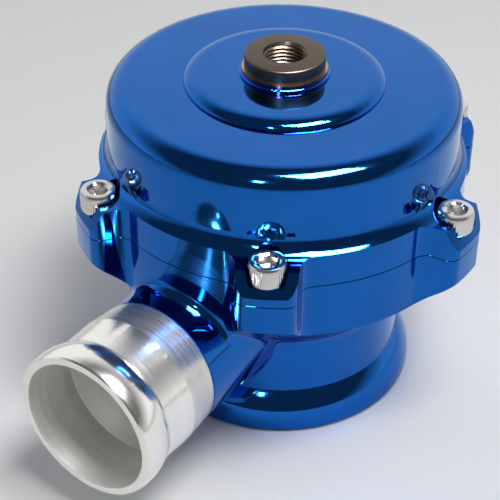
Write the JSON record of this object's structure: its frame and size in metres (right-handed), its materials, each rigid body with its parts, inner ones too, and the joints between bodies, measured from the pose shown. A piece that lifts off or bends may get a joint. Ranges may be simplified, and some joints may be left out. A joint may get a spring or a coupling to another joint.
{
  "type": "blow-off valve",
  "caption": "Turbo blow-off valve with a V-band inlet flange, a side outlet with a hose adapter, a spring-loaded rolling diaphragm and a threaded pressure port in the cap.",
  "frame": {"origin": "centre of the inlet flange's sealing face, on the valve's axis", "axes": "+Z along the valve's axis towards the cap and its pressure port; the outlet points along -Y"},
  "size_m": [0.1024, 0.1226, 0.0864],
  "materials": {
    "blue_anodise": "bright anodised, glossy",
    "raw_aluminium": "fine turned, satin",
    "stainless_steel": "smooth",
    "dark_bronze": "dark, fine turned",
    "gold_washer": "polished, slightly iridescent",
    "black_rubber": "matt",
    "turned_steel": "fine turned",
    "guide_bronze": "sintered bronze, satin",
    "phosphated_steel": "phosphated",
    "inner_aluminium": "turned",
    "diaphragm_rubber": "fabric reinforced, matt",
    "spring_steel": "drawn wire, smooth"
  },
  "bodies": {
    "housing": {"valve_body": "blue_anodise", "actuator_cap": "blue_anodise", "cap_screws": "stainless_steel", "pressure_port": "dark_bronze", "port_washer": "gold_washer", "outlet_adapter": "raw_aluminium", "outlet_o_ring": "black_rubber", "seat_ring": "turned_steel", "seat_o_ring": "black_rubber", "flange_o_ring": "black_rubber", "guide_plate": "inner_aluminium", "guide_bushing": "guide_bronze", "stem_seal": "black_rubber", "seal_retaining_ring": "phosphated_steel", "upper_spring_seat": "turned_steel", "spring": "spring_steel", "diaphragm": "diaphragm_rubber"},
    "valve": {"valve_stem": "turned_steel", "valve_head": "inner_aluminium", "head_seal": "black_rubber", "head_nut": "stainless_steel", "diaphragm_piston": "inner_aluminium", "diaphragm_cup": "inner_aluminium", "stem_washer": "stainless_steel", "stem_nut": "stainless_steel"}
  },
  "joints": [
    {"name": "valve_lift", "type": "slide", "parent": "housing", "child": "valve", "axis": [0, 0, 1], "range_m": [0, 0.012], "stiffness_N_per_m": 4000, "springref_m": -0.012, "deforming": ["spring", "diaphragm"]}
  ]
}
